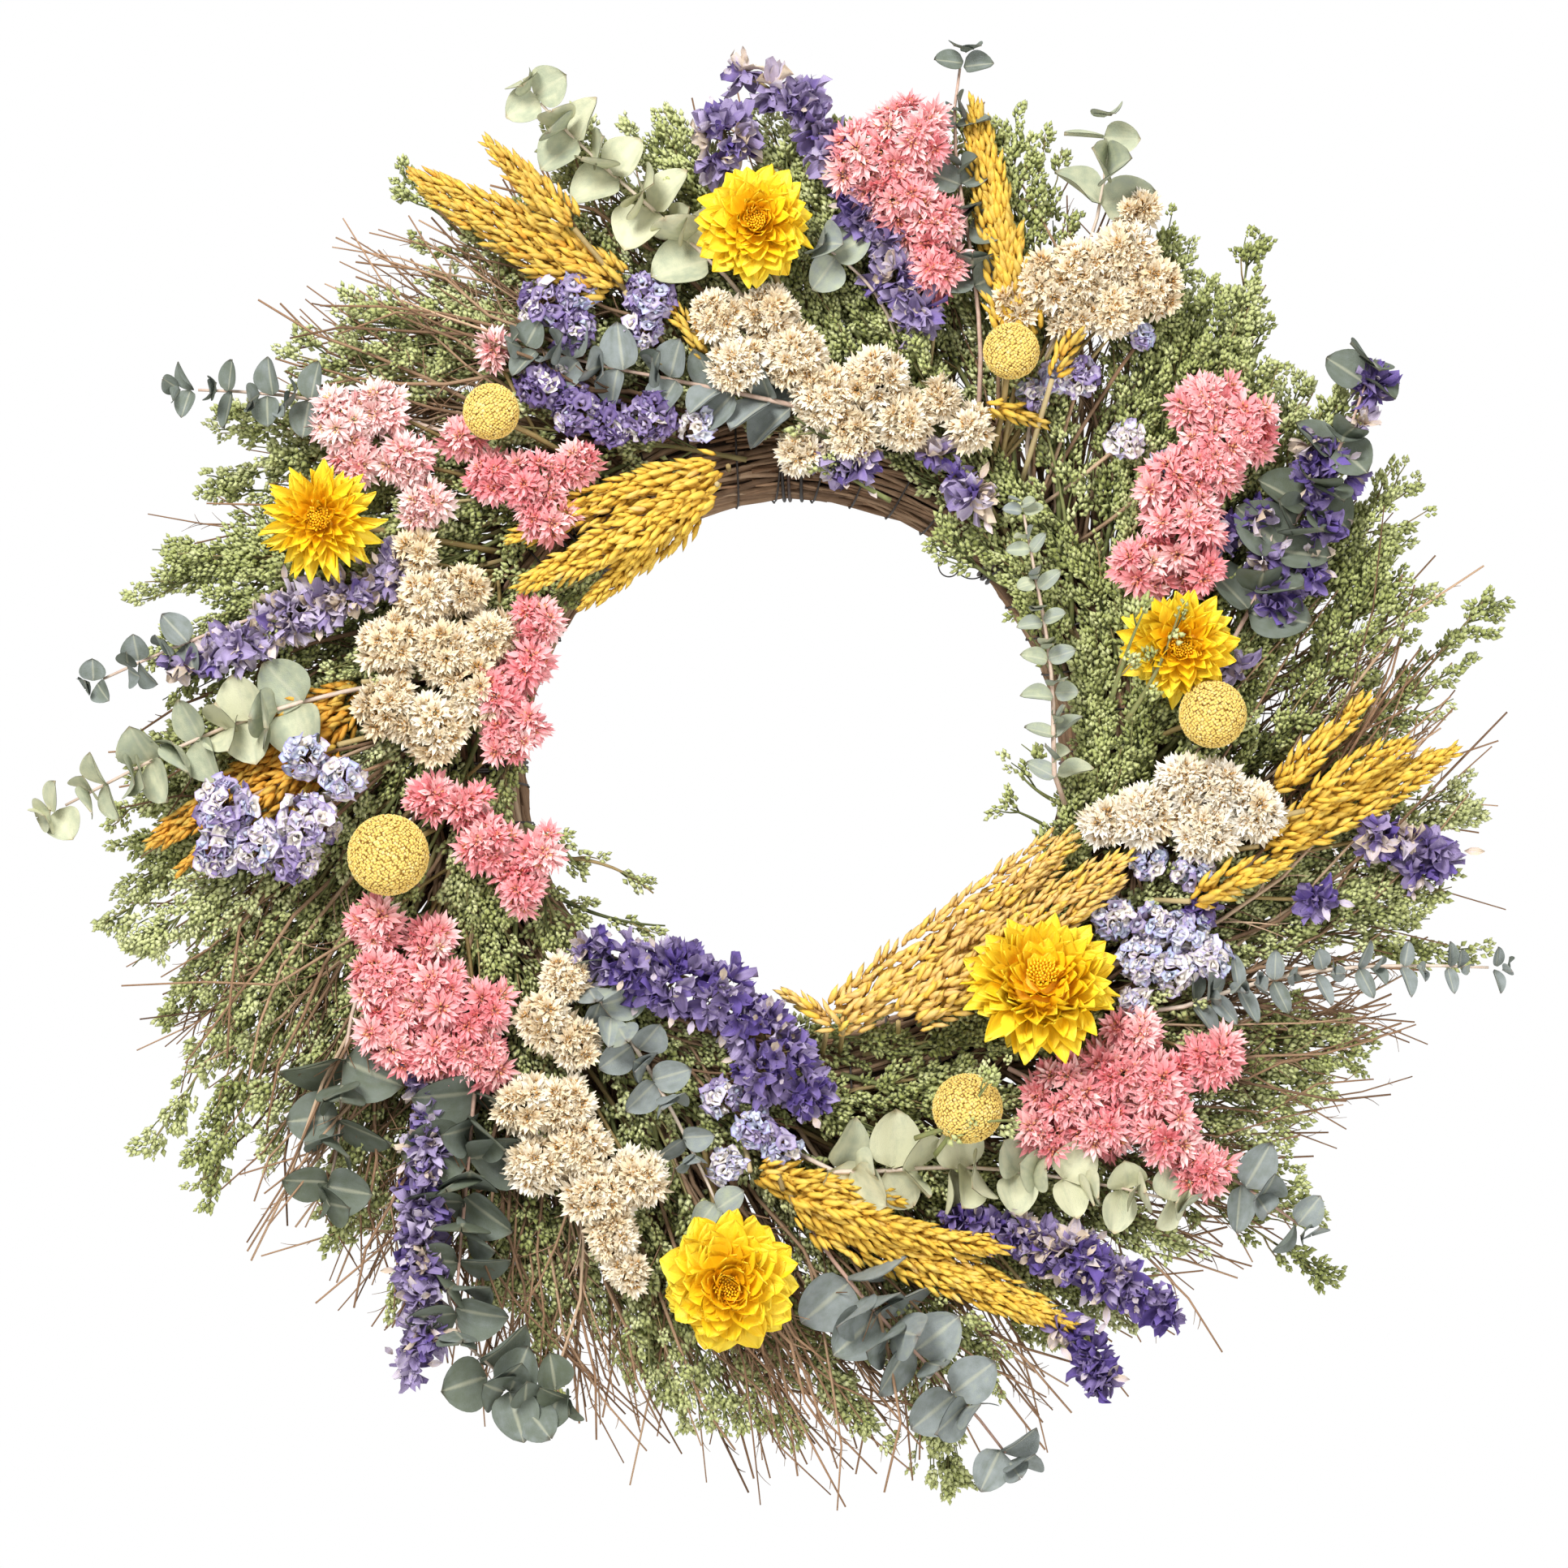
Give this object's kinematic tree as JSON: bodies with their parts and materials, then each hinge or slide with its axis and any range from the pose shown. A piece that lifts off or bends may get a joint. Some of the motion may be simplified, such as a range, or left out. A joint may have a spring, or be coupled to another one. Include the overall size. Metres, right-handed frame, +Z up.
{
  "type": "dried flower wreath",
  "caption": "Round twig wreath with a clear middle, covered with swept green sprays, eucalyptus, grain heads and clustered dried flowers; hangs flat on a wall or door.",
  "frame": {"origin": "the hook point: under the top of the hole, in the plane of the wall that the wreath hangs on", "axes": "+X to the right and +Z up as seen from the front; +Y into the wall, so the flowers face -Y"},
  "size_m": [0.5395, 0.0924, 0.5323],
  "materials": {
    "twig": "dry thin bark, brown to reddish, with paler cut ends",
    "wire": "dull dark florist's wire",
    "foliage": "dried sage-green buds, matt and granular",
    "eucalyptus": "dried leaf, pale sage to grey-blue, waxy bloom",
    "grain": "dyed golden grain, satin husks",
    "strawflower": "papery petals, bright yellow with an orange heart",
    "billy_button": "granular ball, soft golden yellow",
    "pink_daisy": "papery bracts, coral pink",
    "cream_daisy": "papery bracts, cream to tan",
    "statice": "crumpled papery funnels, violet, lavender and pale blue",
    "larkspur": "crumpled dried petals, deep violet"
  },
  "bodies": {
    "root": {"billy_button_1": "billy_button", "billy_button_2": "billy_button", "billy_button_3": "billy_button", "billy_button_4": "billy_button", "billy_button_5": "billy_button", "binding_wire": "wire", "cream_daisies_1": "cream_daisy", "cream_daisies_2": "cream_daisy", "cream_daisies_3": "cream_daisy", "cream_daisies_4": "cream_daisy", "cream_daisies_5": "cream_daisy", "eucalyptus_1": "eucalyptus", "eucalyptus_10": "eucalyptus", "eucalyptus_2": "eucalyptus", "eucalyptus_3": "eucalyptus", "eucalyptus_4": "eucalyptus", "eucalyptus_5": "eucalyptus", "eucalyptus_6": "eucalyptus", "eucalyptus_7": "eucalyptus", "eucalyptus_8": "eucalyptus", "eucalyptus_9": "eucalyptus", "grain_bunch_1": "grain", "grain_bunch_2": "grain", "grain_bunch_3": "grain", "grain_bunch_4": "grain", "grain_bunch_5": "grain", "grain_bunch_6": "grain", "grain_bunch_7": "grain", "green_spray_1": "foliage", "green_spray_2": "foliage", "green_spray_3": "foliage", "green_spray_4": "foliage", "green_spray_5": "foliage", "larkspur_1": "larkspur", "larkspur_2": "larkspur", "larkspur_3": "larkspur", "larkspur_4": "larkspur", "larkspur_5": "larkspur", "pink_daisies_1": "pink_daisy", "pink_daisies_2": "pink_daisy", "pink_daisies_3": "pink_daisy", "pink_daisies_4": "pink_daisy", "pink_daisies_5": "pink_daisy", "pink_daisies_6": "pink_daisy", "statice_1": "statice", "statice_2": "statice", "statice_3": "statice", "strawflower_1": "strawflower", "strawflower_2": "strawflower", "strawflower_3": "strawflower", "strawflower_4": "strawflower", "strawflower_5": "strawflower", "twig_bunch_1": "twig", "twig_bunch_2": "twig", "twig_bunch_3": "twig", "twig_bunch_4": "twig", "twig_bunch_5": "twig", "twig_bunch_6": "twig", "twig_bunch_7": "twig", "twig_bunch_8": "twig"}
  },
  "joints": []
}
